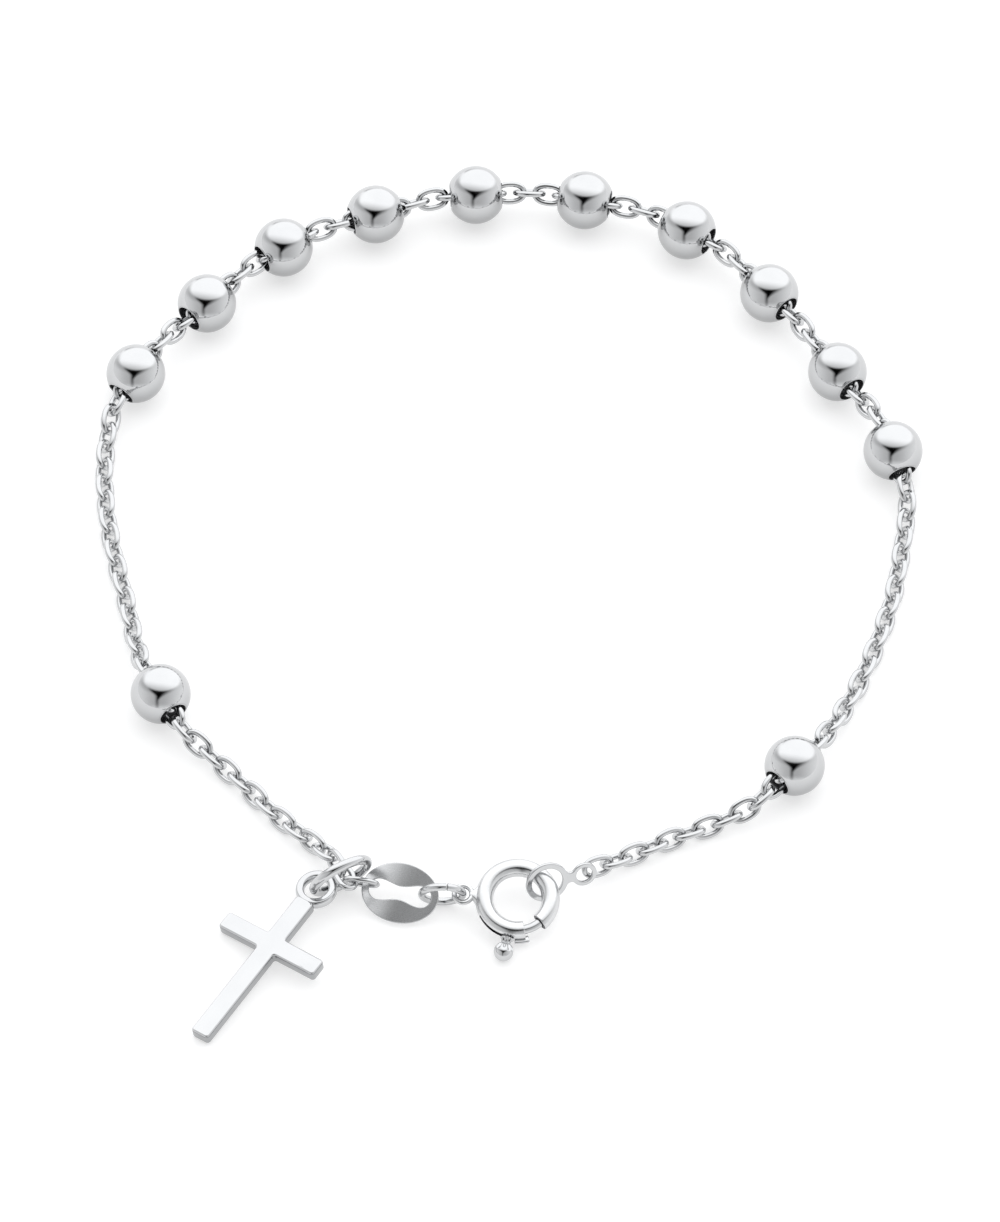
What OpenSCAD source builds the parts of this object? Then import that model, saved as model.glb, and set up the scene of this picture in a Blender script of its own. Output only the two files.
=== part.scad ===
// Rosary bracelet in polished silver, laid out as a closed loop on a flat surface.
// A cable chain runs through twelve hollow ball beads: ten close together and one
// single bead on either side. An oval tag, a cross on its ring, a spring ring clasp
// and a figure-eight end ring close the loop.
// Millimetres, +Z up. The origin is on the surface below the middle of the layout,
// and +Y points away from the clasp.

/* [Chain] */
// Length of a chain link over its two ends
link_len = 2.32; // [2.3:0.01:2.34]
// Width of a chain link
link_wid = 1.6; // [1.58:0.01:1.62]
// Diameter of the wire of a chain link
link_wire = 0.4; // [0.38:0.01:0.41]
// Least clearance between the ends of two neighbouring links
link_gap = 0.18; // [0.17:0.01:0.19]

/* [Beads] */
// Diameter of a ball bead
bead_d = 4; // [3.8:0.05:4.1]
// Thickness of a bead's wall
bead_wall = 0.3; // [0.2:0.05:0.5]
// Diameter of the hole through a bead
bead_hole = 1.85; // [1.8:0.05:2]

/* [Cross] */
// Length of the cross from the middle of its crossing to its foot
cross_foot = 8.1; // [7:0.1:9]
// Distance from the middle of the crossing to the middle of the eyelet
cross_head = 5.1; // [5:0.05:5.2]
// Length of the crossbar
cross_span = 7.6; // [6.5:0.1:8]
// Width of the shaft
shaft_wid = 1.35; // [1.2:0.05:1.5]
// Width of the crossbar
bar_wid = 1.3; // [1.2:0.05:1.5]
// Thickness of the cross
cross_thick = 0.85; // [0.7:0.05:0.95]
// Outer diameter of the cross's eyelet
eyelet_d = 2.75; // [2.7:0.05:2.8]
// Thickness of the eyelet's round band
eyelet_wire = 0.58; // [0.5:0.02:0.6]

/* [Cross ring] */
// Outer diameter of the ring that carries the cross
cross_ring_d = 4.55; // [4.5:0.05:4.6]
// Diameter of that ring's wire
cross_ring_wire = 0.66; // [0.6:0.02:0.68]

/* [Tag] */
// Length of the oval tag
tag_len = 5.1; // [5:0.05:5.2]
// Width of the oval tag
tag_wid = 3.95; // [3.8:0.05:4.1]
// Thickness of the tag's sheet
tag_thick = 0.3; // [0.25:0.05:0.35]
// Distance of the slot's round ends from the middle of the tag
slot_reach = 1.4; // [1.35:0.05:1.45]
// Radius of the slot's round ends
slot_r = 0.68; // [0.65:0.01:0.7]
// Half of the slot's width at its waist
slot_waist = 0.42; // [0.35:0.01:0.5]
// Length of the oval link between the chain and the tag
tag_link_len = 2.5; // [2.45:0.01:2.55]
// Width of that link
tag_link_wid = 1.35; // [1.3:0.01:1.4]
// Diameter of that link's wire
tag_link_wire = 0.34; // [0.3:0.01:0.36]
// Outer diameter of the ring between the tag and the clasp
tag_ring_d = 3.2; // [3.15:0.05:3.25]
// Diameter of that ring's wire
tag_ring_wire = 0.52; // [0.45:0.01:0.54]
// Width of the cut in that ring
ring_cut = 0.08; // [0.04:0.02:0.12]

/* [Clasp] */
// Diameter of the clasp ring along the middle of its tube
clasp_d = 4.34; // [4.3:0.02:4.4]
// Outer diameter of the clasp's tube
tube_d = 1.2; // [1.16:0.02:1.24]
// Inner diameter of the clasp's tube
tube_bore = 0.74; // [0.72:0.01:0.76]
// Diameter of the bolt's wire
bolt_wire = 0.62; // [0.56:0.01:0.64]
// Diameter of the knob that draws the bolt back
knob_d = 1.3; // [1.1:0.05:1.3]
// Turn of the bolt that opens the clasp
bolt_turn = 44; // [38:1:44]

/* [End ring] */
// Outer diameter of the end ring's large eye
big_eye_d = 2.9; // [2.85:0.05:2.95]
// Outer diameter of its small eye
small_eye_d = 1.7; // [1.65:0.05:1.75]
// Thickness of the end ring's sheet
end_thick = 0.26; // [0.22:0.02:0.28]

/* [Hidden] */
$fn = 48;

silver = [0.85, 0.86, 0.87];
eps = 0.01;

// Beads in the chain's running order, from the tag round to the end ring
bead_x = 0;
bead_y = 1;
bore_turn = 2;
bore_rise = 3;
BEADS = [
    // x, y, direction and rise of the hole
    [-22.9, -8.45, 119, 3],
    [-25.1, 17.5, 55, 12],
    [-20.4, 23.35, 47, 0],
    [-15.25, 28.05, 33.5, 0],
    [-9, 30.85, 18.5, 0],
    [-2.15, 32.5, 4.5, 0],
    [5.3, 32.05, -11.5, 0],
    [12.25, 29.5, -32, 0],
    [17.8, 24.2, -50, 0],
    [22.3, 17.65, -58, 0],
    [25.9, 11.15, -70, -12],
    [18.85, -14.1, -132, -1]
];
first_of_ten = 1;
last_of_ten = 10;
last_bead = 11;

// Points that the chain's centreline passes through where it lies free
TAG_TO_BEAD = [
    [-10.37, -23.08, 1.58], [-10.86, -21.84, 1.52], [-11.49, -20.71, 1.22], [-12.2, -19.8, 0.85],
    [-13.3, -18.8, 0.708], [-15.3, -17, 0.69], [-17, -15.1, 0.65], [-18.9, -13.2, 0.768],
    [-20.15, -12.1, 1.16], [-21.21, -11.21, 1.58]
];
LEFT_SIDE = [
    [-24.42, -5, 1.58], [-24.82, -3.2, 0.98], [-25.12, -1.5, 0.708], [-25.5, 0.3, 0.64],
    [-26.15, 3, 0.64], [-26.8, 6.5, 0.64], [-27.1, 10, 0.64], [-27.05, 12, 0.728], [-26.8, 13.9, 1.1]
];
RIGHT_SIDE = [
    [26.82, 7.5, 1], [26.6, 5.5, 0.69], [26.3, 3.5, 0.64], [25.7, 0.25, 0.64],
    [24.55, -3.5, 0.64], [23.5, -6.2, 0.64], [22.9, -7.6, 0.728], [22.2, -9.1, 1],
    [21.35, -10.8, 1.5]
];
BEAD_TO_END = [
    [16.3, -16.7, 1.52], [15.1, -17.28, 1.06], [13.9, -17.72, 0.768], [12.6, -18.22, 0.64],
    [11, -18.85, 0.68], [9.2, -19.75, 0.728], [7.68, -20.51, 0.828], [6.49, -21.1, 1], [5.28, -21.63, 1.19]
];

function unit(v) = v / norm(v);
function heading(turn, rise) = [cos(turn) * cos(rise), sin(turn) * cos(rise), sin(rise)];
function bead_mid(b) = [b[bead_x], b[bead_y], bead_d / 2];
function inside(b) =
    let (d = heading(b[bore_turn], b[bore_rise]))
    [for (s = [-1, 0, 1]) [bead_mid(b) + s * bead_d / 2 * d, d]];
function free(points) = [for (p = points) [p, undef]];
KNOTS = concat(
    free(TAG_TO_BEAD),
    inside(BEADS[0]),
    free(LEFT_SIDE),
    [for (i = [first_of_ten : last_of_ten]) each inside(BEADS[i])],
    free(RIGHT_SIDE),
    inside(BEADS[last_bead]),
    free(BEAD_TO_END)
);
last_knot = len(KNOTS) - 1;
function knot_way(i) = KNOTS[i][1] == undef
    ? unit(KNOTS[min(i + 1, last_knot)][0] - KNOTS[max(i - 1, 0)][0])
    : KNOTS[i][1];

// A smooth curve through the knots, then the length run at each of its points
function curve(a, b, way_a, way_b, t) =
    a * (2 * t ^ 3 - 3 * t ^ 2 + 1) + way_a * (t ^ 3 - 2 * t ^ 2 + t)
    + b * (3 * t ^ 2 - 2 * t ^ 3) + way_b * (t ^ 3 - t ^ 2);
curve_steps = 8;
PATH = [
    for (i = [0 : last_knot - 1])
        let (a = KNOTS[i][0], b = KNOTS[i + 1][0], chord = norm(b - a))
        for (k = [0 : curve_steps - 1])
            curve(a, b, knot_way(i) * chord, knot_way(i + 1) * chord, k / curve_steps),
    KNOTS[last_knot][0]
];
last_point = len(PATH) - 1;
RUN = [
    for (i = 0, s = 0; i <= last_point; s = s + norm(PATH[min(i + 1, last_point)] - PATH[i]), i = i + 1)
        s
];
AXIS_RUNS = [for (axis = [0 : 2]) [for (i = [0 : last_point]) [RUN[i], PATH[i][axis]]]];
function point_at(s) = [for (axis = [0 : 2]) lookup(s, AXIS_RUNS[axis])];

// The number of links is even, so that the last one lies across the first one
link_count = 2 * ceil(RUN[last_point] / (link_len - 2 * link_wire - link_gap) / 2);
pitch = RUN[last_point] / link_count;

// Neighbouring links stand at right angles, and the chain twists near its ends
twist_links = 8;
first_twist = -25;
last_twist = -15;
function link_roll(i) = 45 + 90 * (i % 2)
    + lookup(i, [
        [0, first_twist], [twist_links, 0],
        [link_count - 1 - twist_links, 0], [link_count - 1, last_twist]
    ]);

module oval_link(len, wid, wire) {
    bend = (wid - wire) / 2;
    straight = len - wid;
    for (side = [0, 1])
        mirror([side, 0, 0])
            translate([straight / 2, 0, 0])
                rotate([0, 0, -90])
                    rotate_extrude(angle = 180)
                        translate([bend, 0])
                            circle(d = wire);
    for (side = [-1, 1])
        translate([-straight / 2, side * bend, 0])
            rotate([0, 90, 0])
                cylinder(d = wire, h = straight);
}

module along(a, b, roll) {
    way = unit(b - a);
    translate((a + b) / 2)
        rotate([roll, -asin(way[2]), atan2(way[1], way[0])])
            children();
}

module chain() {
    color(silver)
        for (i = [0 : link_count - 1])
            along(point_at(i * pitch), point_at((i + 1) * pitch), link_roll(i))
                oval_link(link_len, link_wid, link_wire);
}

module bead(b) {
    color(silver)
        translate(bead_mid(b))
            rotate([0, 90 - b[bore_rise], b[bore_turn]])
                difference() {
                    sphere(d = bead_d);
                    sphere(d = bead_d - 2 * bead_wall);
                    cylinder(d = bead_hole, h = bead_d + 1, center = true);
                }
}

module torus(outer, wire) {
    rotate_extrude()
        translate([(outer - wire) / 2, 0])
            circle(d = wire);
}

// Cross: its place, the direction of its shaft and how it leans on the ring
cross_at = [-15.35, -27.38, 0.89];
cross_turn = 55.6;
cross_pitch = 2.7;
cross_roll = 6;
edge_r = 0.16;

module rounded_rect(wid, high, r) {
    square([wid - 2 * r, high], center = true);
    square([wid, high - 2 * r], center = true);
    for (x = [-1, 1], y = [-1, 1])
        translate([x * (wid / 2 - r), y * (high / 2 - r)])
            circle(r = r);
}

module rounded_bar(wid, len) {
    intersection() {
        rotate([90, 0, 0])
            linear_extrude(height = len, center = true)
                rounded_rect(wid, cross_thick, edge_r);
        linear_extrude(height = cross_thick + 1, center = true)
            rounded_rect(wid + eps, len, edge_r);
    }
}

module cross() {
    shaft_top = cross_head - eyelet_d / 2 + eyelet_wire / 2;
    shaft_len = cross_foot + shaft_top;
    color(silver)
        translate(cross_at)
            rotate([0, 0, cross_turn - 90])
                rotate([cross_pitch, 0, 0])
                    rotate([0, -cross_roll, 0]) {
                        translate([0, (shaft_top - cross_foot) / 2, 0])
                            rounded_bar(shaft_wid, shaft_len);
                        rotate([0, 0, 90])
                            rounded_bar(bar_wid, cross_span);
                        translate([0, cross_head, 0])
                            torus(eyelet_d, eyelet_wire);
                    }
}

// Ring that carries the cross, standing on the surface
cross_ring_at = [-10.87, -22.81, 2.23];
cross_ring_lean = 103.2;
cross_ring_turn = 28.4;

module cross_ring() {
    color(silver)
        translate(cross_ring_at)
            rotate([cross_ring_lean, 0, cross_ring_turn])
                torus(cross_ring_d, cross_ring_wire);
}

// Tag, lying tilted with its near edge down
tag_at = [-7.02, -23.48, 1.18];
tag_turn = -13;
tag_tilt = 30;
tag_sides = 72;
slot_steps = 6;
tag_link_from = [-10.81, -22.56, 1.44];
tag_link_to = [-8.3, -22.92, 1.27];
tag_link_roll = -75;
tag_ring_at = [-4.26, -23.83, 1.6];
tag_ring_lean = 101.4;
ring_cut_turn = 78;

module tag_link() {
    color(silver)
        along(tag_link_from, tag_link_to, tag_link_roll)
            oval_link(tag_link_len, tag_link_wid, tag_link_wire);
}

module tag_slot() {
    for (side = [-1, 1])
        translate([side * slot_reach, 0])
            circle(r = slot_r);
    edge = [
        for (k = [-slot_steps : slot_steps])
            let (t = k / slot_steps)
            [t * slot_reach, slot_waist + (slot_r - slot_waist) * (1 - cos(180 * t)) / 2]
    ];
    polygon(concat(edge, [for (p = edge) -p]));
}

module tag() {
    color(silver)
        translate(tag_at)
            rotate([0, 0, tag_turn])
                rotate([tag_tilt, 0, 0])
                    linear_extrude(height = tag_thick, center = true)
                        difference() {
                            polygon([
                                for (k = [0 : tag_sides - 1])
                                    let (a = 360 * k / tag_sides)
                                    [tag_len / 2 * cos(a), tag_wid / 2 * sin(a)]
                            ]);
                            tag_slot();
                        }
}

module tag_ring() {
    color(silver)
        translate(tag_ring_at)
            rotate([tag_ring_lean, 0, 0])
                difference() {
                    torus(tag_ring_d, tag_ring_wire);
                    rotate([0, 0, ring_cut_turn])
                        translate([(tag_ring_d - tag_ring_wire) / 2, 0, 0])
                            cube([1, ring_cut, 1], center = true);
                }
}

// Clasp: angles round the ring from +X, seen from above
clasp_at = [0.64, -24.08, 1.41];
clasp_tilt = 12;
clasp_r = clasp_d / 2;
gap_start = -78.7;
gap_end = -48.5;
knob_turn = -104;
slot_margin = 5.5;
slot_wide = 0.5;
pin_d = 0.34;
neck_d = 0.94;
neck_high = 0.5;
neck_gap = 0.05;
knob_reach = 1.58;
bolt_front = -35;
bolt_tail = -122;
lip_start = -94;
lip_end = -74;
lip_at = [0.33, -0.47];
lip_wide = 0.48;
lip_high = 0.25;
eye_at = [-3.545, 0.284, 0.134];
eye_d = 1.52;
eye_wire = 0.36;
solder_start = 2.62;
solder_len = 0.4;
solder_d = 0.62;
solder_high = 0.05;

module ring_arc(from, to) {
    rotate([0, 0, from])
        rotate_extrude(angle = to - from)
            translate([clasp_r, 0])
                children();
}

module in_clasp() {
    translate(clasp_at)
        rotate([clasp_tilt, 0, 0])
            children();
}

module clasp_ring() {
    color(silver)
        in_clasp()
            difference() {
                union() {
                    ring_arc(gap_end, gap_start + 360)
                        circle(d = tube_d);
                    ring_arc(lip_start, lip_end)
                        translate(lip_at)
                            square([lip_wide, lip_high]);
                    translate(eye_at)
                        torus(eye_d, eye_wire);
                    rotate([0, 0, atan2(eye_at[1], eye_at[0])])
                        translate([solder_start, 0, solder_high])
                            rotate([0, 90, 0])
                                cylinder(d = solder_d, h = solder_len);
                }
                ring_arc(gap_end - 1, gap_start + 361)
                    circle(d = tube_bore);
                ring_arc(knob_turn - bolt_turn - slot_margin, knob_turn + slot_margin)
                    translate([0, -slot_wide / 2])
                        square([tube_d, slot_wide]);
            }
}

module clasp_bolt() {
    color(silver)
        in_clasp() {
            ring_arc(bolt_tail, bolt_front)
                circle(d = bolt_wire);
            rotate([0, 0, knob_turn])
                translate([clasp_r, 0, 0])
                    rotate([0, 90, 0]) {
                        cylinder(d = pin_d, h = tube_d);
                        translate([0, 0, tube_d / 2 + neck_gap])
                            cylinder(d1 = neck_d, d2 = knob_d / 2, h = neck_high);
                        translate([0, 0, knob_reach])
                            sphere(d = knob_d);
                    }
        }
}

// End ring: a flat figure eight whose large eye is hooked round the clasp's tube
end_ring_at = [2.56, -22.94, 1.68];
end_ring_lean = 66.8;
end_ring_turn = 19.8;
end_ring_spin = -5.6;
eye_gap = 2.55;
big_band = 0.4;
small_band = 0.3;
waist_wid = 0.7;

module end_ring() {
    color(silver)
        translate(end_ring_at)
            rotate([end_ring_lean, 0, end_ring_turn])
                rotate([0, 0, end_ring_spin])
                    linear_extrude(height = end_thick, center = true)
                        difference() {
                            union() {
                                circle(d = big_eye_d);
                                translate([eye_gap, 0])
                                    circle(d = small_eye_d);
                                translate([0, -waist_wid / 2])
                                    square([eye_gap, waist_wid]);
                            }
                            circle(d = big_eye_d - 2 * big_band);
                            translate([eye_gap, 0])
                                circle(d = small_eye_d - 2 * small_band);
                        }
}

chain();
bead(BEADS[0]);  // single_bead_left
bead(BEADS[1]);  // decade_bead_01
bead(BEADS[2]);  // decade_bead_02
bead(BEADS[3]);  // decade_bead_03
bead(BEADS[4]);  // decade_bead_04
bead(BEADS[5]);  // decade_bead_05
bead(BEADS[6]);  // decade_bead_06
bead(BEADS[7]);  // decade_bead_07
bead(BEADS[8]);  // decade_bead_08
bead(BEADS[9]);  // decade_bead_09
bead(BEADS[10]);  // decade_bead_10
bead(BEADS[11]);  // single_bead_right
cross();
cross_ring();
tag_link();
tag();
tag_ring();
clasp_ring();
clasp_bolt();
end_ring();
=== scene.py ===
import math

import bmesh
import bpy
import numpy as np
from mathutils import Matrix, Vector
from mathutils.geometry import tessellate_polygon


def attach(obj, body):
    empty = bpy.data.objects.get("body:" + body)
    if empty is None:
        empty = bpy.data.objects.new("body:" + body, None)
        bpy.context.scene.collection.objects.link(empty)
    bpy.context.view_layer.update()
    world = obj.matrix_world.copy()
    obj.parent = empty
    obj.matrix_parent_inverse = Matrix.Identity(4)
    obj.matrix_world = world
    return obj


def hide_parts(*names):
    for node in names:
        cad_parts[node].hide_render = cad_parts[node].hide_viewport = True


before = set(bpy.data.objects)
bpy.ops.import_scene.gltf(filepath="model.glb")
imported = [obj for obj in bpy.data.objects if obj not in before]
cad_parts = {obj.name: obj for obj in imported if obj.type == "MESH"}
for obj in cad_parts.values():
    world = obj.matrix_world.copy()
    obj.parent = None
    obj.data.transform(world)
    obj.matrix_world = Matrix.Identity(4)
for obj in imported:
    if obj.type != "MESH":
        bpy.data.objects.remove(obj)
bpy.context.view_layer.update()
scene = bpy.context.scene
scene.view_settings.view_transform = "Standard"
MM = 0.001

# Camera, at the photograph's viewing angle: degrees above the floor, and millimetres
CAMERA_RISE = 56
CAMERA_AWAY = 633.3
CAMERA_AIM = (-0.5, -0.5, 0)
CAMERA_LENS, CAMERA_SENSOR = 279.87, 36
cam = bpy.data.objects.new("camera", bpy.data.cameras.new("camera"))
scene.collection.objects.link(cam)
rise = math.radians(CAMERA_RISE)
cam.location = Vector((
    CAMERA_AIM[0],
    CAMERA_AIM[1] - CAMERA_AWAY * math.cos(rise),
    CAMERA_AWAY * math.sin(rise),
)) * MM
cam.rotation_euler = (math.pi / 2 - rise, 0, 0)
cam.data.lens = CAMERA_LENS
cam.data.sensor_width = CAMERA_SENSOR
cam.data.clip_start = 0.01
cam.data.clip_end = 20
scene.camera = cam


# Small helpers for node trees
def calc(tree, op, *values):
    node = tree.nodes.new("ShaderNodeMath")
    node.operation = op
    for socket, value in zip(node.inputs, values):
        if isinstance(value, (int, float)):
            socket.default_value = value
        else:
            tree.links.new(value, socket)
    return node.outputs[0]


def vector_calc(tree, op, a, b=None, scale=None):
    node = tree.nodes.new("ShaderNodeVectorMath")
    node.operation = op
    for socket, value in zip(node.inputs, (a, b, None, scale)):
        if isinstance(value, bpy.types.NodeSocket):
            tree.links.new(value, socket)
        elif value is not None:
            socket.default_value = value
    return node.outputs["Value" if op == "DOT_PRODUCT" else "Vector"]


def ease(tree, value, start, end, low=0.0, high=1.0):
    """Goes smoothly from low at start to high at end."""
    node = tree.nodes.new("ShaderNodeMapRange")
    node.interpolation_type = "SMOOTHSTEP"
    tree.links.new(value, node.inputs["Value"])
    for name, number in zip(("From Min", "From Max", "To Min", "To Max"), (start, end, low, high)):
        node.inputs[name].default_value = number
    return node.outputs["Result"]


def mix(tree, share, a, b):
    """a where share is 0, b where it is 1."""
    return calc(tree, "ADD", calc(tree, "MULTIPLY", a, calc(tree, "SUBTRACT", 1.0, share)),
                calc(tree, "MULTIPLY", b, share))


# Studio: a large soft box overhead, a light card on each side, a pale back wall and a
# narrow dark gap between the cards. Directions are given as the place on a mirror ball,
# across and up from its middle, that shows them at the photograph's viewing angle.
# The cards and the back wall meet the floor at one level of light.
FLOOR_GLOW = 1.15


def make_studio():
    world = bpy.data.worlds.new("studio")
    world.use_nodes = True
    scene.world = world
    tree = world.node_tree
    tree.nodes.clear()
    way = tree.nodes.new("ShaderNodeTexCoord").outputs["Generated"]
    split = tree.nodes.new("ShaderNodeSeparateXYZ")
    tree.links.new(way, split.inputs[0])
    x, y, z = split.outputs
    sin_e, cos_e = math.sin(rise), math.cos(rise)
    up = calc(tree, "ADD", calc(tree, "MULTIPLY", y, sin_e), calc(tree, "MULTIPLY", z, cos_e))
    near = calc(tree, "SUBTRACT", calc(tree, "MULTIPLY", z, sin_e), calc(tree, "MULTIPLY", y, cos_e))
    half = calc(tree, "SQRT", calc(tree, "MULTIPLY_ADD", near, 2.0, 2.002))
    s = calc(tree, "DIVIDE", x, half)
    t = calc(tree, "DIVIDE", up, half)

    # Cards: darker beside the gap, paler outwards and down to the floor
    off = calc(tree, "ABSOLUTE", calc(tree, "ADD", s, 0.09))
    left = ease(tree, off, 0.05, 0.75, 0.7, FLOOR_GLOW)
    right = ease(tree, off, 0.1, 1.0, 0.66, 1.25)
    card = mix(tree, ease(tree, s, -0.14, -0.04), left, right)
    card = mix(tree, ease(tree, t, -0.3, -0.52), card, FLOOR_GLOW)
    back = ease(tree, t, 0.3, 0.8, FLOOR_GLOW, 1.5)
    wall = mix(tree, ease(tree, t, 0.3, 0.6), card, back)

    # Soft box: an oval on the mirror ball, fading towards its near left edge, with a dim
    # frame on its left
    across = calc(tree, "DIVIDE", calc(tree, "SUBTRACT", s, 0.055), 0.6)
    over = calc(tree, "DIVIDE", calc(tree, "SUBTRACT", t, 0.45), 0.44)
    under = calc(tree, "DIVIDE", calc(tree, "SUBTRACT", 0.45, t), 0.35)
    along = calc(tree, "MAXIMUM", over, under)
    e = calc(tree, "SQRT", calc(tree, "ADD", calc(tree, "POWER", calc(tree, "ABSOLUTE", across), 2.0),
                                calc(tree, "POWER", along, 2.0)))
    box = ease(tree, calc(tree, "MULTIPLY_ADD", s, 0.16, t), 0.0, 0.42, 0.6, 1.68)
    inside = ease(tree, e, 1.12, 0.88)
    frame_dim = calc(tree, "MULTIPLY", ease(tree, e, 1.45, 1.1), ease(tree, t, 0.85, 0.3))
    frame_dim = calc(tree, "MULTIPLY", frame_dim, ease(tree, s, -0.2, 0.3, 0.28, 0.04))
    wall = calc(tree, "MULTIPLY", wall, calc(tree, "SUBTRACT", 1.0, frame_dim))

    # Gap: a stem between the cards that widens under the soft box
    left_edge = ease(tree, t, -0.1, 0.2, -0.14, -0.36)
    right_edge = ease(tree, t, -0.25, 0.25, -0.07, 0.4)
    blur = ease(tree, t, -0.15, 0.1, 0.07, 0.19)
    from_left = calc(tree, "SUBTRACT", s, left_edge)
    from_right = calc(tree, "DIVIDE", calc(tree, "SUBTRACT", right_edge, s), blur)
    gap = calc(tree, "MULTIPLY", ease(tree, from_left, -0.08, 0.08), ease(tree, from_right, -1.0, 1.0))
    gap = calc(tree, "MULTIPLY", gap, ease(tree, t, -0.62, -0.25))
    wall = calc(tree, "MULTIPLY", wall, calc(tree, "SUBTRACT", 1.0, gap))
    light = mix(tree, inside, wall, box)

    tint = tree.nodes.new("ShaderNodeCombineColor")
    for socket, share in zip(tint.inputs, (0.985, 0.992, 1.0)):
        tree.links.new(calc(tree, "MULTIPLY", light, share), socket)
    shine = tree.nodes.new("ShaderNodeBackground")
    out = tree.nodes.new("ShaderNodeOutputWorld")
    tree.links.new(tint.outputs[0], shine.inputs["Color"])
    tree.links.new(shine.outputs[0], out.inputs["Surface"])


# Materials. Tones are the darker and the lighter colour of the metal.
SILVER_TONES = ((0.555, 0.56, 0.568), (0.58, 0.584, 0.59))
# Painted shade: a darker copy of the metal for the cross's sides
SIDE_PAINTED_SHADE_TONES = ((0.37, 0.375, 0.385), (0.41, 0.415, 0.42))
# Painted reflection: a dark line on one strip of the cross's edge rounding
EDGE_PAINTED_REFLECTION_TONES = ((0.17, 0.172, 0.178), (0.2, 0.203, 0.21))
# Painted light: a lighter copy of the metal for the clasp's tube
TUBE_PAINTED_LIGHT_TONES = ((0.63, 0.635, 0.642), (0.66, 0.664, 0.67))
# Painted shade: a dark copy of the metal inside the beads' holes and hollows
HOLE_PAINTED_SHADE_TONES = ((0.2, 0.202, 0.208), (0.26, 0.262, 0.268))
# Painted shade: a near-black copy of the metal for the clasp's bore, ends and slot walls
BORE_PAINTED_SHADE_TONES = ((0.05, 0.05, 0.055), (0.12, 0.12, 0.13))

# The tag's middle, and its directions along and across
TAG_AT = (-7.02, -23.48, 1.18)
TAG_LONG, TAG_SHORT = (0.974, -0.225, 0.0), (0.195, 0.844, 0.5)


def tag_axis(tree, place, way):
    """How far a place lies from the tag's middle along one of its axes, in metres."""
    dot = vector_calc(tree, "DOT_PRODUCT", place, way)
    return calc(tree, "SUBTRACT", dot, Vector(way).dot(Vector(TAG_AT)) * MM)


def leaning_normal(tree):
    """The tag's normal, leant along it and across it to shade the sheet from light to dark."""
    place = tree.nodes.new("ShaderNodeTexCoord").outputs["Object"]
    x, y = tag_axis(tree, place, TAG_LONG), tag_axis(tree, place, TAG_SHORT)
    lean_long = calc(tree, "MULTIPLY_ADD", x, 20.0, calc(tree, "MULTIPLY_ADD", y, -30.0, -0.17))
    lean_short = calc(tree, "MULTIPLY_ADD", y, 30.0, 0.025)
    lean_short = calc(tree, "MULTIPLY_ADD", calc(tree, "MINIMUM", x, 0.0), -120.0, lean_short)
    lean_short = calc(tree, "MULTIPLY_ADD", calc(tree, "MAXIMUM", x, 0.0), -80.0, lean_short)
    normal = tree.nodes.new("ShaderNodeNewGeometry").outputs["Normal"]
    for way, share in ((TAG_LONG, lean_long), (TAG_SHORT, lean_short)):
        normal = vector_calc(tree, "ADD", normal, vector_calc(tree, "SCALE", way, scale=share))
    return vector_calc(tree, "NORMALIZE", normal)


def painted_shade_of(tree, painted_crease_shade, under):
    """Painted shade: the share of its tone that the metal keeps, less in narrow places and underneath.
    """
    crease_shade_occlusion = tree.nodes.new("ShaderNodeAmbientOcclusion")
    crease_shade_occlusion.inputs["Distance"].default_value = 0.3 * MM
    underside_shade_facing = tree.nodes.new("ShaderNodeSeparateXYZ")
    tree.links.new(tree.nodes.new("ShaderNodeNewGeometry").outputs["Normal"], underside_shade_facing.inputs[0])
    return calc(tree, "MULTIPLY", ease(tree, crease_shade_occlusion.outputs["AO"], 0.1, 0.55, painted_crease_shade, 1.0),
                ease(tree, underside_shade_facing.outputs["Z"], -0.3, 0.6, under, 1.0))


def polished_silver(name, rough, grain, bump, streak=None, tones=SILVER_TONES,
                    painted_crease_shade=1.0, under=1.0, lean=False):
    """Silver with faint polishing marks. streak stretches them, the crease share and under are the
    shares of its tone left by painted shade in narrow places and on its underside, and lean tilts
    its normal as on the tag."""
    mat = bpy.data.materials.new(name)
    mat.use_nodes = True
    tree = mat.node_tree
    shader = tree.nodes["Principled BSDF"]
    shader.inputs["Metallic"].default_value = 1.0
    coords = tree.nodes.new("ShaderNodeTexCoord").outputs["Object"]
    if streak:
        mapping = tree.nodes.new("ShaderNodeMapping")
        mapping.inputs["Scale"].default_value = streak
        tree.links.new(coords, mapping.inputs["Vector"])
        coords = mapping.outputs["Vector"]

    def noise(scale, detail):
        node = tree.nodes.new("ShaderNodeTexNoise")
        node.inputs["Scale"].default_value = scale
        node.inputs["Detail"].default_value = detail
        tree.links.new(coords, node.inputs["Vector"])
        return node.outputs["Fac"]

    cloud = noise(grain, 4.0)
    fine = noise(grain * 9, 3.0)
    ramp = tree.nodes.new("ShaderNodeValToRGB")
    for element, position, tone in zip(ramp.color_ramp.elements, (0.3, 0.7), tones):
        element.position = position
        element.color = (*tone, 1)
    tree.links.new(cloud, ramp.inputs["Fac"])
    color = ramp.outputs["Color"]
    # Painted shade: the tone darkens in narrow places and towards the underside
    if painted_crease_shade < 1 or under < 1:
        color = vector_calc(tree, "SCALE", color, scale=painted_shade_of(tree, painted_crease_shade, under))
    tree.links.new(color, shader.inputs["Base Color"])
    tree.links.new(ease(tree, fine, 0.35, 0.75, *rough), shader.inputs["Roughness"])
    relief = tree.nodes.new("ShaderNodeBump")
    relief.inputs["Strength"].default_value = bump
    relief.inputs["Distance"].default_value = 0.02 * MM
    tree.links.new(fine, relief.inputs["Height"])
    tree.links.new(relief.outputs["Normal"], shader.inputs["Normal"])
    if lean:
        tree.links.new(leaning_normal(tree), relief.inputs["Normal"])
    return mat


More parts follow.
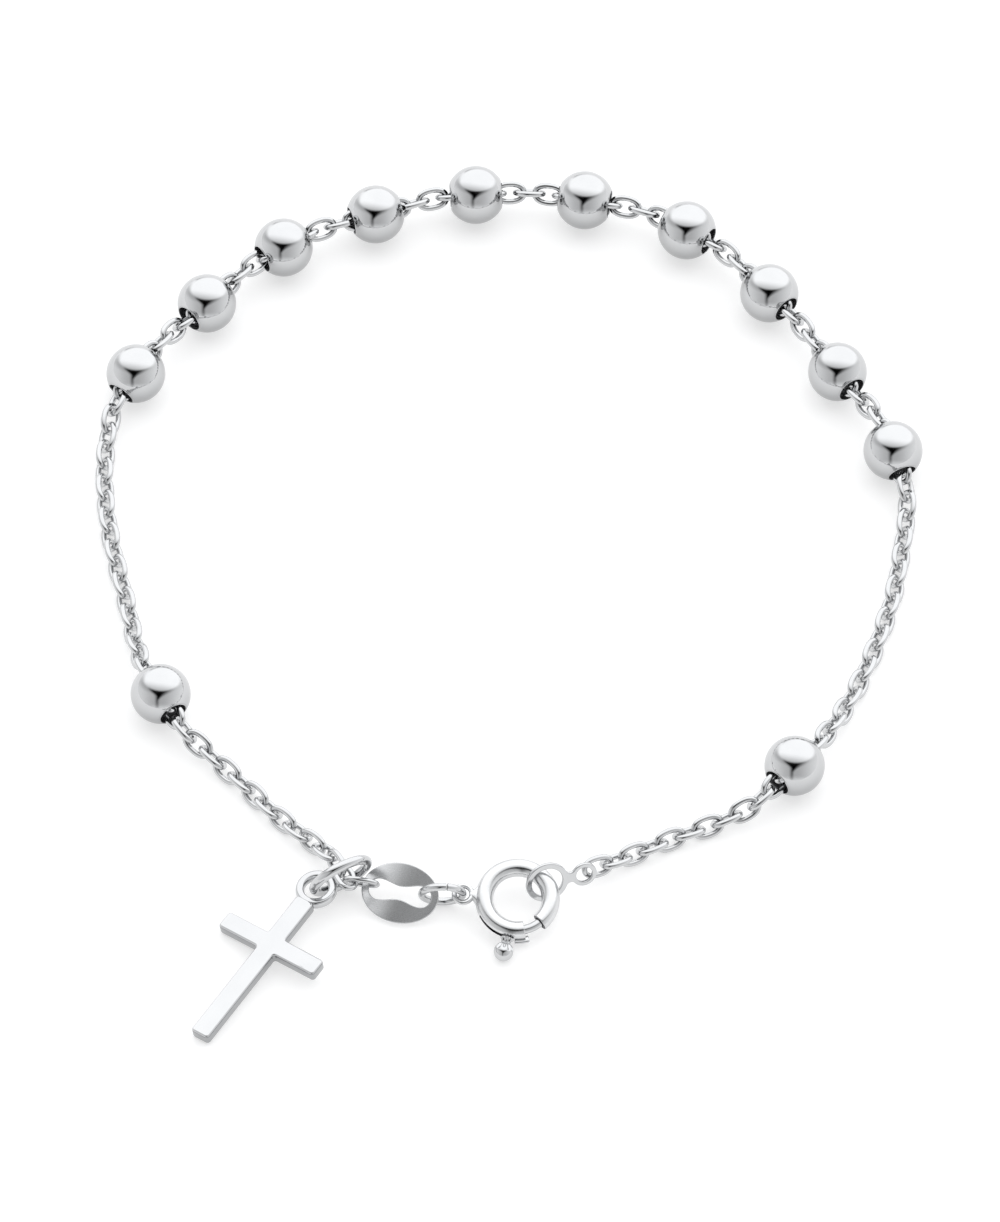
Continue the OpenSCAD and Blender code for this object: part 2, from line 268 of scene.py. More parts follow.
def floor_material():
    """A white sheet on a light table, so that shadows on it stay faint."""
    mat = bpy.data.materials.new("floor_white")
    mat.use_nodes = True
    tree = mat.node_tree
    shader = tree.nodes["Principled BSDF"]
    shader.inputs["Roughness"].default_value = 0.7
    shader.inputs["Specular IOR Level"].default_value = 0.15
    shader.inputs["Emission Color"].default_value = (1, 1, 1, 1)
    shader.inputs["Emission Strength"].default_value = 0.5
    coords = tree.nodes.new("ShaderNodeTexCoord").outputs["Object"]
    cloud = tree.nodes.new("ShaderNodeTexNoise")
    cloud.inputs["Scale"].default_value = 30
    tree.links.new(coords, cloud.inputs["Vector"])
    ramp = tree.nodes.new("ShaderNodeValToRGB")
    for element, grey in zip(ramp.color_ramp.elements, (0.6, 0.62)):
        element.color = (grey, grey, grey, 1)
    tree.links.new(cloud.outputs["Fac"], ramp.inputs["Fac"])
    tree.links.new(ramp.outputs["Color"], shader.inputs["Base Color"])
    return mat


# Mesh tools, all in millimetres
def turned(x=0.0, y=0.0, z=0.0):
    """Turn about X, then Y, then Z, in degrees."""
    a, b, c = (math.radians(v) for v in (x, y, z))
    rx = np.array([[1, 0, 0], [0, math.cos(a), -math.sin(a)], [0, math.sin(a), math.cos(a)]])
    ry = np.array([[math.cos(b), 0, math.sin(b)], [0, 1, 0], [-math.sin(b), 0, math.cos(b)]])
    rz = np.array([[math.cos(c), -math.sin(c), 0], [math.sin(c), math.cos(c), 0], [0, 0, 1]])
    return rz @ ry @ rx


class Shape:
    """Closed shells collected in millimetres, made into one object at the end."""

    def __init__(self):
        self.points, self.faces, self.kinds, self.count = [], [], [], 0

    def add(self, points, faces, turn=None, at=(0, 0, 0), kinds=None):
        points = np.asarray(points, float).reshape(-1, 3)
        if turn is not None:
            points = points @ turn.T
        self.points.append(points + np.asarray(at, float))
        self.faces.extend([tuple(i + self.count for i in f) for f in faces])
        self.kinds.extend(kinds or [0] * len(faces))
        self.count += len(points)

    def put(self, other, turn=None, at=(0, 0, 0)):
        self.add(np.concatenate(other.points), other.faces, turn, at, other.kinds)

    def make(self, name, materials, body, *nodes):
        mesh = bpy.data.meshes.new(name)
        points = np.concatenate(self.points) * MM
        mesh.from_pydata(points.tolist(), [], self.faces)
        mesh.polygons.foreach_set("material_index", self.kinds)
        work = bmesh.new()
        work.from_mesh(mesh)
        bmesh.ops.recalc_face_normals(work, faces=work.faces)
        for face in work.faces:
            face.smooth = True
        for edge in work.edges:
            if len(edge.link_faces) == 2 and edge.calc_face_angle(0) > math.radians(50):
                edge.smooth = False
        work.to_mesh(mesh)
        work.free()
        for material in materials if isinstance(materials, tuple) else (materials,):
            mesh.materials.append(material)
        piece = bpy.data.objects.new(name, mesh)
        scene.collection.objects.link(piece)
        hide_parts(*nodes)
        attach(piece, body)
        return piece


def quads(rows, cols, close_rows=False, close_cols=True, first=0):
    """Faces of a grid of points, listed row by row."""
    faces = []
    for i in range(rows if close_rows else rows - 1):
        for j in range(cols if close_cols else cols - 1):
            k, m = (i + 1) % rows, (j + 1) % cols
            faces.append((first + i * cols + j, first + i * cols + m,
                          first + k * cols + m, first + k * cols + j))
    return faces


def oval(wide, high, power=2.0, count=24):
    """Points of a section wide and high across, rounder or squarer by its power."""
    a = np.linspace(0, 2 * np.pi, count, endpoint=False)
    c, s = np.cos(a), np.sin(a)
    return np.c_[wide / 2 * np.sign(c) * np.abs(c) ** (2 / power),
                 high / 2 * np.sign(s) * np.abs(s) ** (2 / power)]


def closed_sweep(path, section):
    """A section carried round a closed flat path, which runs anticlockwise."""
    way = np.roll(path, -1, 0) - np.roll(path, 1, 0)
    way /= np.linalg.norm(way, axis=1)[:, None]
    out = np.c_[way[:, 1], -way[:, 0]]
    flat = path[:, None] + out[:, None] * section[None, :, :1]
    high = np.broadcast_to(section[None, :, 1:], flat.shape[:2] + (1,))
    return np.concatenate([flat, high], 2), quads(len(path), len(section), True)


def arc_sweep(radius, start, end, section, steps, nose=0.05, round_to=0.0):
    """A section carried round an arc about Z, in degrees, with softly rounded ends. round_to is
    the share of the section left at the very tip, or 0 for an edge softened by nose all round."""
    lead = math.degrees(nose / radius)
    bend = np.radians(np.linspace(0, 90, 7))
    soft = nose / np.abs(section).max()

    def scale_at(b):
        if round_to:
            return math.cos(b) * (1 - round_to) + round_to
        return 1 - soft * (1 - math.cos(b))

    first = [(start + lead * (1 - math.sin(b)), scale_at(b)) for b in bend[::-1]]
    middle = [(a, 1.0) for a in np.linspace(start + lead, end - lead, steps)][1:-1]
    last = [(start + end - a, k) for a, k in first[::-1]]
    rows = []
    for angle, scale in first + middle + last:
        a = math.radians(angle)
        r = radius + section[:, 0] * scale
        rows.append(np.c_[r * math.cos(a), r * math.sin(a), section[:, 1] * scale])
    count, cols = len(rows), len(section)
    faces = quads(count, cols)
    faces.append(tuple(range(cols)))
    faces.append(tuple((count - 1) * cols + j for j in range(cols)))
    return np.array(rows), faces


def circle(radius, count, middle=(0, 0)):
    a = np.linspace(0, 2 * np.pi, count, endpoint=False)
    return np.c_[middle[0] + radius * np.cos(a), middle[1] + radius * np.sin(a)]


def lathe(profile, count, close=True, flutes=None):
    """A profile of (height, radius) points turned round Z. flutes(height, angle) scales the radius."""
    rows = []
    for a in np.linspace(0, 2 * np.pi, count, endpoint=False):
        r = profile[:, 1] * (flutes(profile[:, 0], a) if flutes else 1)
        rows.append(np.c_[r * math.cos(a), r * math.sin(a), profile[:, 0]])
    cols = len(profile)
    faces = quads(count, cols, True, close)
    if not close:
        faces.append(tuple(i * cols for i in range(count)))
        faces.append(tuple(i * cols + cols - 1 for i in range(count)))
    return np.array(rows), faces


def edge_rows(thick, soft, steps=5, lead=0.02):
    """(inset, height) rows over a sheet's softened edge, from its top face to its lower one."""
    bend = np.radians(np.linspace(90, 0, steps))
    top = [(soft + lead, thick / 2)]
    top += [(soft * (1 - math.cos(b)), thick / 2 - soft * (1 - math.sin(b))) for b in bend]
    return top + [(d, -h) for d, h in top[::-1]]


def plate(outlines, thick, soft):
    """A flat sheet with softened edges. The first outline runs anticlockwise, and holes clockwise."""
    rows = edge_rows(thick, soft)
    points, faces, first, tops, lows = [], [], 0, [], []
    for line in outlines:
        way = np.roll(line, -1, 0) - np.roll(line, 1, 0)
        way /= np.linalg.norm(way, axis=1)[:, None]
        out = np.c_[way[:, 1], -way[:, 0]]
        n = len(line)
        for inset, height in rows:
            points.append(np.c_[line - out * inset, np.full(n, height)])
        faces += quads(len(rows), n, first=first)
        tops.append(first)
        lows.append(first + (len(rows) - 1) * n)
        first += len(rows) * n
    flat = np.concatenate(points)
    for starts in (tops, lows):
        loops = [[Vector(flat[a + i]) for i in range(len(line))] for a, line in zip(starts, outlines)]
        index = [a + i for a, line in zip(starts, outlines) for i in range(len(line))]
        faces += [tuple(index[i] for i in tri) for tri in tessellate_polygon(loops)]
    return flat, faces


# Chain: the same knots and curve as the solids
LINK_LEN, LINK_WID, LINK_WIRE, LINK_GAP = 2.32, 1.6, 0.4, 0.18
BEAD_D, BEAD_WALL, BEAD_HOLE = 4.0, 0.3, 1.85
# x, y, direction and rise of the hole
BEADS = [
    (-22.9, -8.45, 119, 3), (-25.1, 17.5, 55, 12), (-20.4, 23.35, 47, 0), (-15.25, 28.05, 33.5, 0),
    (-9, 30.85, 18.5, 0), (-2.15, 32.5, 4.5, 0), (5.3, 32.05, -11.5, 0), (12.25, 29.5, -32, 0),
    (17.8, 24.2, -50, 0), (22.3, 17.65, -58, 0), (25.9, 11.15, -70, -12), (18.85, -14.1, -132, -1),
]
TAG_TO_BEAD = [
    (-10.37, -23.08, 1.58), (-10.86, -21.84, 1.52), (-11.49, -20.71, 1.22), (-12.2, -19.8, 0.85),
    (-13.3, -18.8, 0.708), (-15.3, -17, 0.69), (-17, -15.1, 0.65), (-18.9, -13.2, 0.768),
    (-20.15, -12.1, 1.16), (-21.21, -11.21, 1.58),
]
LEFT_SIDE = [
    (-24.42, -5, 1.58), (-24.82, -3.2, 0.98), (-25.12, -1.5, 0.708), (-25.5, 0.3, 0.64),
    (-26.15, 3, 0.64), (-26.8, 6.5, 0.64), (-27.1, 10, 0.64), (-27.05, 12, 0.728),
    (-26.8, 13.9, 1.1),
]
RIGHT_SIDE = [
    (26.82, 7.5, 1), (26.6, 5.5, 0.69), (26.3, 3.5, 0.64), (25.7, 0.25, 0.64), (24.55, -3.5, 0.64),
    (23.5, -6.2, 0.64), (22.9, -7.6, 0.728), (22.2, -9.1, 1), (21.35, -10.8, 1.5),
]
BEAD_TO_END = [
    (16.3, -16.7, 1.52), (15.1, -17.28, 1.06), (13.9, -17.72, 0.768), (12.6, -18.22, 0.64),
    (11, -18.85, 0.68), (9.2, -19.75, 0.728), (7.68, -20.51, 0.828), (6.49, -21.1, 1),
    (5.28, -21.63, 1.19),
]
CURVE_STEPS = 8
TWIST_LINKS, FIRST_TWIST, LAST_TWIST = 8, -25, -15


def heading(direction, climb):
    a, b = math.radians(direction), math.radians(climb)
    return np.array([math.cos(a) * math.cos(b), math.sin(a) * math.cos(b), math.sin(b)])


def chain_curve():
    """Points along the chain's centreline, and the length run at each."""
    def free(points):
        return [(np.array(p, float), None) for p in points]

    def inside(bead):
        way = heading(bead[2], bead[3])
        middle = np.array([bead[0], bead[1], BEAD_D / 2])
        return [(middle + k * BEAD_D / 2 * way, way) for k in (-1, 0, 1)]

    knots = free(TAG_TO_BEAD) + inside(BEADS[0]) + free(LEFT_SIDE)
    for bead in BEADS[1:11]:
        knots += inside(bead)
    knots += free(RIGHT_SIDE) + inside(BEADS[11]) + free(BEAD_TO_END)
    ways = []
    for i, (_, way) in enumerate(knots):
        if way is None:
            way = knots[min(i + 1, len(knots) - 1)][0] - knots[max(i - 1, 0)][0]
            way = way / np.linalg.norm(way)
        ways.append(way)
    path = []
    for (a, _), (b, _), way_a, way_b in zip(knots, knots[1:], ways, ways[1:]):
        chord = np.linalg.norm(b - a)
        for k in range(CURVE_STEPS):
            t = k / CURVE_STEPS
            path.append(a * (2 * t**3 - 3 * t**2 + 1) + way_a * chord * (t**3 - 2 * t**2 + t)
                        + b * (3 * t**2 - 2 * t**3) + way_b * chord * (t**3 - t**2))
    path = np.array(path + [knots[-1][0]])
    run = np.concatenate([[0], np.cumsum(np.linalg.norm(np.diff(path, axis=0), axis=1))])
    return path, run


def link_shape(length, width, wire, around, sides):
    """One oval link: a closed ring of round wire with long, nearly straight sides."""
    line = oval(length - wire, width - wire, 2.35, around)
    return closed_sweep(line, oval(wire, wire, 2, sides))


def along(a, b, roll):
    """Turn and place of something that lies from a to b."""
    way = (b - a) / np.linalg.norm(b - a)
    turn = turned(roll, -math.degrees(math.asin(way[2])), math.degrees(math.atan2(way[1], way[0])))
    return turn, (a + b) / 2


def make_chain(material):
    path, run = chain_curve()
    count = 2 * math.ceil(run[-1] / (LINK_LEN - 2 * LINK_WIRE - LINK_GAP) / 2)
    marks = [np.array([np.interp(i * run[-1] / count, run, path[:, k]) for k in range(3)])
             for i in range(count + 1)]
    points, faces = link_shape(LINK_LEN, LINK_WID, LINK_WIRE, 44, 14)
    shape = Shape()
    for i in range(count):
        twist = np.interp(i, [0, TWIST_LINKS, count - 1 - TWIST_LINKS, count - 1],
                          [FIRST_TWIST, 0, 0, LAST_TWIST])
        shape.add(points, faces, *along(marks[i], marks[i + 1], 45 + 90 * (i % 2) + twist))
    return shape.make("chain_links", material, "bracelet", "chain")


# Beads: hollow balls with a rolled lip round each hole
def bead_profile():
    """The ball's wall as a closed line of (height, radius), and which of its steps are inside."""
    outer, inner, hole, lip = BEAD_D / 2, BEAD_D / 2 - BEAD_WALL, BEAD_HOLE / 2, 0.09
    start = math.asin((hole + lip) / outer)
    shell = [(outer * math.cos(a), outer * math.sin(a)) for a in np.linspace(start, math.pi - start, 61)]
    edge = outer * math.cos(math.asin(hole / outer))
    end = math.asin(hole / inner)
    rim = [(outer * math.cos(start) - 0.012, hole + lip * 0.55), (edge - 0.03, hole + lip * 0.2),
           (edge - 0.09, hole), (edge - 0.16, hole), (inner * math.cos(end), hole)]
    hollow = [(inner * math.cos(a), inner * math.sin(a))
              for a in np.linspace(end, math.pi - end, 25)[1:-1]]
    line = shell + [(-h, r) for h, r in rim] + hollow[::-1] + rim[::-1]
    inside = [i for i in range(len(line)) if len(shell) + 2 <= i < len(line) - 3]
    return np.array(line), set(inside)


def make_bead(name, bead, outside, inside):
    line, dark = bead_profile()
    points, faces = lathe(line, 96)
    # The steps inside the hole and the hollow take the second material, a dark copy of the metal as
    # painted shade
    kinds = [1 if i % len(line) in dark else 0 for i in range(len(faces))]
    shape = Shape()
    shape.add(points, faces, turned(0, 90 - bead[3], bead[2]), (bead[0], bead[1], BEAD_D / 2), kinds)
    return shape.make(name + "_ball", (outside, inside), "bracelet", name)


# Cross
def cross_outline(half_bar, half_shaft, reach, foot, top, corner, inner):
    """Outline of the cross, anticlockwise, with softened outer and inner corners."""
    raw = [
        (half_shaft, -foot, corner), (half_shaft, -half_bar, inner), (reach, -half_bar, corner),
        (reach, half_bar, corner), (half_shaft, half_bar, inner), (half_shaft, top, corner),
        (-half_shaft, top, corner), (-half_shaft, half_bar, inner), (-reach, half_bar, corner),
        (-reach, -half_bar, corner), (-half_shaft, -half_bar, inner), (-half_shaft, -foot, corner),
    ]
    line = []
    for i, (x, y, r) in enumerate(raw):
        here = np.array([x, y])
        before = np.array(raw[i - 1][:2]) - here
        after = np.array(raw[(i + 1) % len(raw)][:2]) - here
        before, after = before / np.linalg.norm(before), after / np.linalg.norm(after)
        middle = here + (before + after) * r
        for k in np.linspace(0, math.pi / 2, 9):
            line.append(middle - after * r * math.cos(k) - before * r * math.sin(k))
    full = []
    for a, b in zip(line, line[1:] + line[:1]):
        steps = max(1, int(np.linalg.norm(b - a) / 0.35))
        full += [a + (b - a) * k / steps for k in range(steps)]
    return np.array(full)


def make_cross(material, sides, line):
    thick, soft, eye_at, eye_d = 0.85, 0.15, 5.1, 2.75
    outline = cross_outline(half_bar=0.65, half_shaft=0.675, reach=3.8, foot=8.1,
                            top=eye_at - eye_d / 2 + 0.22, corner=0.24, inner=0.16)
    shape = Shape()
    local = Shape()
    points, faces = plate([outline], thick, soft)
    # The faces run strip by strip down the edge. One strip of its rounding takes a dark line of
    # painted reflection, and those below it, the sides, take a darker copy of the metal as painted
    # shade.
    strip = len(points) // len(edge_rows(thick, soft))
    painted_reflection_strip, last_painted_shade_strip = 4, 9

    def kind(i):
        if i // strip == painted_reflection_strip:
            return 2
        return 1 if painted_reflection_strip < i // strip <= last_painted_shade_strip else 0

    local.add(points, faces, kinds=[kind(i) for i in range(len(faces))])
    local.add(*closed_sweep(circle(1.085, 96), oval(0.58, 0.72, 2.6, 28)), at=(0, eye_at, 0))
    turn = turned(0, 0, 55.6 - 90) @ turned(2.7) @ turned(0, -6)
    shape.put(local, turn, (-15.35, -27.38, 0.89))
    return shape.make("cross_body", (material, sides, line), "bracelet", "cross")


def make_ring(name, node, outer, wire, turn, at, material):
    shape = Shape()
    shape.add(*closed_sweep(circle((outer - wire) / 2, 120), oval(wire, wire, 2, 28)), turn, at)
    return shape.make(name, material, "bracelet", node)


# Tag and its link and ring
def tag_loops(count=200):
    """The tag's rim and the edge of its hourglass slot, point for point by direction."""
    reach, r, waist = 1.4, 0.68, 0.42
    a = np.linspace(0, 2 * np.pi, count, endpoint=False)
    rim = np.c_[2.55 * np.cos(a), 1.975 * np.sin(a)]
    k = np.linspace(0, 1, 25)
    flank = np.c_[reach * k, waist + (r - waist) * (1 - np.cos(np.pi * k)) / 2]
    bow = np.radians(np.linspace(90, 0, 25))[1:]
    nose = np.c_[reach + r * np.cos(bow), r * np.sin(bow)]
    quarter = np.concatenate([flank, nose])
    angle = np.arctan2(quarter[:, 1], quarter[:, 0])[::-1]
    size = np.linalg.norm(quarter, axis=1)[::-1]
    fold = np.abs(np.arctan2(rim[:, 1], rim[:, 0]))
    fold = np.minimum(fold, np.pi - fold)
    far = np.interp(fold, angle, size)
    direction = np.arctan2(rim[:, 1], rim[:, 0])
    slot = np.c_[far * np.cos(direction), far * np.sin(direction)]
    return rim, slot


def make_tag(material):
    rim, slot = tag_loops()

    def outward(line, sign):
        way = np.roll(line, -1, 0) - np.roll(line, 1, 0)
        way /= np.linalg.norm(way, axis=1)[:, None]
        return sign * np.c_[way[:, 1], -way[:, 0]]

    def between(a, b):
        return [(a[0] + (b[0] - a[0]) * k, a[1]) for k in np.linspace(0, 1, 9)[1:-1]]

    rim_out, slot_out = outward(rim, 1), outward(slot, -1)
    rows = edge_rows(0.3, 0.06)
    over = [(rim - rim_out * d, h) for d, h in rows]
    under = [(slot - slot_out * d, h) for d, h in rows[::-1]]
    section = over + between(over[-1], under[0]) + under + between(under[-1], over[0])
    points = np.array([np.c_[flat, np.full(len(flat), high)] for flat, high in section])
    dome = 0.02 * points[..., 0] ** 2
    points[..., 2] -= dome - 0.05
    shape = Shape()
    turn = turned(0, 0, -13) @ turned(30)
    shape.add(points, quads(len(points), points.shape[1], True), turn, TAG_AT)
    return shape.make("tag_sheet", material, "bracelet", "tag")


def make_tag_link(material):
    points, faces = link_shape(2.5, 1.35, 0.34, 64, 20)
    shape = Shape()
    start, end = np.array([-10.81, -22.56, 1.44]), np.array([-8.3, -22.92, 1.27])
    shape.add(points, faces, *along(start, end, -75))
    return shape.make("tag_link_wire", material, "bracelet", "tag_link")


def make_tag_ring(material):
    outer, wire, cut_at, cut_half = 3.2, 0.52, 78, 0.04
    radius = (outer - wire) / 2
    half = math.degrees(cut_half / radius)
    points, faces = arc_sweep(radius, cut_at + half, cut_at + 360 - half,
                              oval(wire, wire, 2, 28), 100, 0.03)
    shape = Shape()
    shape.add(points, faces, turned(101.4), (-4.26, -23.83, 1.6))
    return shape.make("tag_ring_wire", material, "bracelet", "tag_ring")


# Clasp
CLASP_AT, CLASP_TILT, CLASP_R = (0.64, -24.08, 1.41), 12, 2.17
TUBE_R, BORE_R, SLOT_HALF = 0.6, 0.37, 0.25
GAP_START, GAP_END, KNOB_TURN, BOLT_TURN = -78.7, -48.5, -104, 44


def tube_shell():
    """The clasp's hollow tube with its gap and the slot for the knob."""
    slot_from, slot_to = KNOB_TURN - BOLT_TURN - 5.5 + 360, KNOB_TURN + 5.5 + 360
    low, high = GAP_END, GAP_START + 360
    before, within, after = 110, 24, 11
    stations = np.concatenate([
        np.linspace(low, slot_from, before + 1)[:-1],
        np.linspace(slot_from, slot_to, within + 1)[:-1],
        np.linspace(slot_to, high, after),
    ])
    first_cut, last_cut = before, before + within
    half, side = 4, 20
    count = 2 * half + 2 * side

    def section(radius):
        edge = math.asin(SLOT_HALF / radius)
        slot = np.linspace(-edge, edge, 2 * half + 1)
        rest = np.linspace(edge, 2 * np.pi - edge, 2 * side + 1)[1:-1]
        a = np.concatenate([slot, rest])
        return np.c_[radius * np.cos(a), radius * np.sin(a)]

    def ring(radius, angle, cut=0.0):
        a = math.radians(angle)
        flat = section(radius) if not cut else section(radius) * (radius - cut) / radius
        r = CLASP_R + flat[:, 0]
        return np.c_[r * math.cos(a), r * math.sin(a), flat[:, 1]]

    soft, softer = 0.04, 0.012
    nose = math.degrees(soft / CLASP_R)
    outer = [ring(TUBE_R, low, soft), ring(TUBE_R, low + nose * 0.3, softer)]
    outer += [ring(TUBE_R, max(a, low + nose) if a < 90 else min(a, high - nose)) for a in stations]
    outer += [ring(TUBE_R, high - nose * 0.3, softer), ring(TUBE_R, high, soft)]
    inner = [ring(BORE_R, a) for a in stations]
    points = np.concatenate(outer + inner)
    base = len(outer) * count
    faces = []

    def in_slot(i, j):
        return first_cut <= i < last_cut and j < 2 * half

    for i in range(len(outer) - 1):
        for j in range(count):
            if not in_slot(i - 2, j):
                m = (j + 1) % count
                faces.append((i * count + j, i * count + m, (i + 1) * count + m, (i + 1) * count + j))
    shown = len(faces)
    for i in range(len(inner) - 1):
        for j in range(count):
            if not in_slot(i, j):
                m = (j + 1) % count
                faces.append((base + i * count + j, base + (i + 1) * count + j,
                              base + (i + 1) * count + m, base + i * count + m))
    for end_out, end_in in ((0, 0), (len(outer) - 1, len(inner) - 1)):
        for j in range(count):
            m = (j + 1) % count
            faces.append((end_out * count + j, base + end_in * count + j,
                          base + end_in * count + m, end_out * count + m))
    for i in range(first_cut, last_cut):
        for j in (0, 2 * half):
            a, b = (i + 2) * count + j, (i + 3) * count + j
            faces.append((a, b, base + (i + 1) * count + j, base + i * count + j))
    for i in (first_cut, last_cut):
        for j in range(2 * half):
            a = (i + 2) * count + j
            faces.append((a, a + 1, base + i * count + j + 1, base + i * count + j))
    # The bore, the ends and the slot walls take the second material, a near-black copy of the metal as
    # painted shade
    kinds = [0] * shown + [1] * (len(faces) - shown)
    return points, faces, kinds


def solder_neck():
    """The solder that joins the eye to the tube, wider at the tube, along +X."""
    steps, count = 15, 24
    reach = np.linspace(2.3, 3.1, steps)
    share = (reach - reach[0]) / (reach[-1] - reach[0])
    half = 0.27 + 1.15 * (1 - share) ** 1.6
    rows = [np.c_[np.full(count, x), oval(2 * h, 0.5 + 0.2 * (1 - k), 2.2, count)]
            for x, h, k in zip(reach, half, share)]
    faces = quads(steps, count)
    faces += [tuple(range(count)), tuple(range((steps - 1) * count, steps * count))]
    return np.array(rows), faces


def make_clasp_ring(material, inside):
    local = Shape()
    points, faces, kinds = tube_shell()
    local.add(points, faces, kinds=kinds)
    lip = arc_sweep(CLASP_R + 0.57, -94, -74, oval(0.48, 0.25, 3.2, 24), 16, 0.08)
    local.add(*lip, at=(0, 0, -0.345))
    eye = (-3.545, 0.284, 0.134)
    local.add(*closed_sweep(circle(0.58, 72), oval(0.36, 0.36, 2, 20)), at=eye)
    to_eye = math.degrees(math.atan2(eye[1], eye[0]))
    local.add(*solder_neck(), turned(0, 0, to_eye), (0, 0, 0.06))
    shape = Shape()
    shape.put(local, turned(CLASP_TILT), CLASP_AT)
    return shape.make("clasp_tube", (material, inside), "bracelet", "clasp_ring")


def knob_profile():
    """The knob's pin, flared neck and ball, as height over the tube's middle and radius."""
    ball, middle, waist = 0.65, 1.58, 0.3
    flare_at, flare = 0.67, 0.465
    neck = [(0.2, 0.02), (0.2, 0.17), (0.62, 0.17), (0.64, 0.44), (flare_at, flare)]
    neck += [(flare_at + 0.36 * k, flare - (flare - waist) * math.sin(k * math.pi / 2))
             for k in np.linspace(0.12, 1, 8)]
    start = math.asin(waist / ball)
    turn = np.linspace(start, math.pi - 0.03, 36)[1:]
    return np.array(neck + [(middle - ball * math.cos(a), ball * math.sin(a)) for a in turn])


def make_clasp_bolt(material):
    wire, flute_count = 0.62, 11
    local = Shape()
    local.add(*arc_sweep(CLASP_R, -122, -35, oval(wire, wire, 2, 32), 60, 0.18, 0.35))

    def flutes(height, angle):
        depth = np.interp(height, [0.66, 0.75, 1.35, 1.65], [0, 0.1, 0.13, 0])
        return 1 - depth * (1 - math.cos(flute_count * angle))

    knob = math.radians(KNOB_TURN)
    local.add(*lathe(knob_profile(), 132, False, flutes), turned(0, 0, KNOB_TURN) @ turned(0, 90),
              (CLASP_R * math.cos(knob), CLASP_R * math.sin(knob), 0))
    shape = Shape()
    shape.put(local, turned(CLASP_TILT), CLASP_AT)
    return shape.make("clasp_bolt_wire", material, "clasp_bolt", "clasp_bolt")


# End ring
def end_ring_outline():
    """Figure eight of two rounds with a waist that flows into both, anticlockwise."""
    big, small, gap, waist = 1.45, 0.85, 2.55, 0.38

    def spare(f):
        return gap - math.sqrt(big**2 - waist**2 + 2 * f * (big - waist)) - math.sqrt(
            small**2 - waist**2 + 2 * f * (small - waist))

    low, high = 0.0, 2.0
    for _ in range(40):
        f = (low + high) / 2
        low, high = (f, high) if spare(f) > 0 else (low, f)
    cx, cy = math.sqrt(big**2 - waist**2 + 2 * f * (big - waist)), waist + f
    on_big, on_small = math.atan2(cy, cx), math.atan2(cy, cx - gap)
    line = [(big * math.cos(a), big * math.sin(a))
            for a in np.linspace(on_big, 2 * math.pi - on_big, 90)]
    line += [(cx + f * math.cos(a), -cy + f * math.sin(a))
             for a in np.linspace(math.pi - on_big, math.pi - on_small, 16)[1:-1]]
    line += [(gap + small * math.cos(a), small * math.sin(a))
             for a in np.linspace(-on_small, on_small, 56)]
    line += [(cx + f * math.cos(a), cy + f * math.sin(a))
             for a in np.linspace(math.pi + on_small, math.pi + on_big, 16)[1:-1]]
    return np.array(line)


def make_end_ring(material):
    holes = [circle(1.05, 96)[::-1], circle(0.55, 60, (2.55, 0))[::-1]]
    points, faces = plate([end_ring_outline()] + holes, 0.26, 0.07)
    shape = Shape()
    turn = turned(66.8, 0, 19.8) @ turned(0, 0, -5.6)
    shape.add(points, faces, turn, (2.56, -22.94, 1.68))
    return shape.make("end_ring_sheet", material, "bracelet", "end_ring")


# Everything
make_studio()
# Painted shade: the balls darken towards their undersides, and the wire, cast, sheet and tube metals
# darken in narrow places
ball_silver = polished_silver("silver_balls", (0.07, 0.11), 700.0, 0.01, under=0.72)
wire_silver = polished_silver("silver_wire", (0.05, 0.1), 1200.0, 0.03, painted_crease_shade=0.4)
cast_silver = polished_silver("silver_cast", (0.05, 0.1), 500.0, 0.04, painted_crease_shade=0.6)
# Painted shade: a darker copy of the cast metal for the cross's sides
side_painted_shade_silver = polished_silver("silver_cast_sides_painted_shade", (0.14, 0.22), 500.0, 0.06,
                              tones=SIDE_PAINTED_SHADE_TONES, painted_crease_shade=0.6)
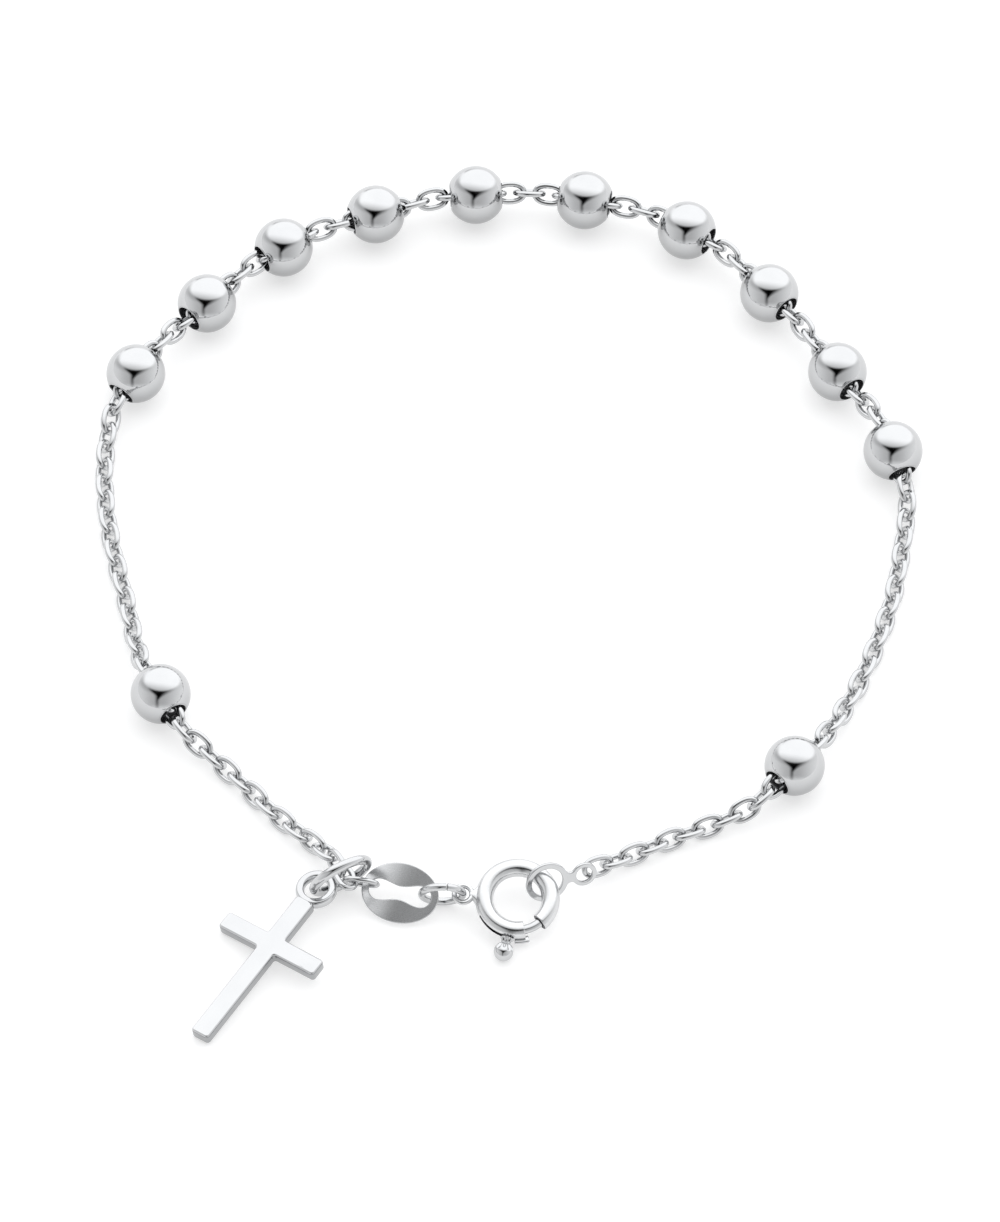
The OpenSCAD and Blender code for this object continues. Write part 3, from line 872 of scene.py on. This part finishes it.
# Painted reflection: a dark line on one strip of the cross's edge rounding
edge_painted_reflection_silver = polished_silver("silver_cast_painted_reflection_line", (0.14, 0.22), 500.0, 0.06, tones=EDGE_PAINTED_REFLECTION_TONES)
sheet_silver = polished_silver("silver_sheet", (0.08, 0.14), 600.0, 0.03, painted_crease_shade=0.6)
satin_silver = polished_silver("silver_satin", (0.27, 0.31), 500.0, 0.005,
                               streak=(1.0, 6.0, 1.0), lean=True)
# Painted shade: a near-black copy of the metal for the clasp's bore, ends and slot walls
bore_painted_shade_silver = polished_silver("silver_bore_painted_shade", (0.35, 0.55), 800.0, 0.2, tones=BORE_PAINTED_SHADE_TONES)
# Painted shade: a dark copy of the metal inside the beads' holes
hole_painted_shade_silver = polished_silver("silver_inside_painted_shade", (0.35, 0.55), 800.0, 0.2, tones=HOLE_PAINTED_SHADE_TONES)
# Painted light: the clasp's tube takes a lighter copy of the metal
tube_painted_light_silver = polished_silver("silver_tube_painted_light", (0.17, 0.23), 800.0, 0.02,
                              tones=TUBE_PAINTED_LIGHT_TONES, painted_crease_shade=0.5)

make_chain(wire_silver)
make_bead("single_bead_left", BEADS[0], ball_silver, hole_painted_shade_silver)
for number in range(1, 11):
    make_bead("decade_bead_%02d" % number, BEADS[number], ball_silver, hole_painted_shade_silver)
make_bead("single_bead_right", BEADS[11], ball_silver, hole_painted_shade_silver)
make_cross(cast_silver, side_painted_shade_silver, edge_painted_reflection_silver)
make_ring("cross_ring_wire", "cross_ring", 4.55, 0.66, turned(103.2, 0, 28.4),
          (-10.87, -22.81, 2.23), wire_silver)
make_tag_link(wire_silver)
make_tag(satin_silver)
make_tag_ring(wire_silver)
make_clasp_ring(tube_painted_light_silver, bore_painted_shade_silver)
make_clasp_bolt(wire_silver)
make_end_ring(sheet_silver)

FLOOR_HALF = 4.0
corners = [(x * FLOOR_HALF, y * FLOOR_HALF, 0) for x, y in ((-1, -1), (1, -1), (1, 1), (-1, 1))]
floor_mesh = bpy.data.meshes.new("floor")
floor_mesh.from_pydata(corners, [], [(0, 1, 2, 3)])
floor_mesh.materials.append(floor_material())
floor = bpy.data.objects.new("floor", floor_mesh)
scene.collection.objects.link(floor)
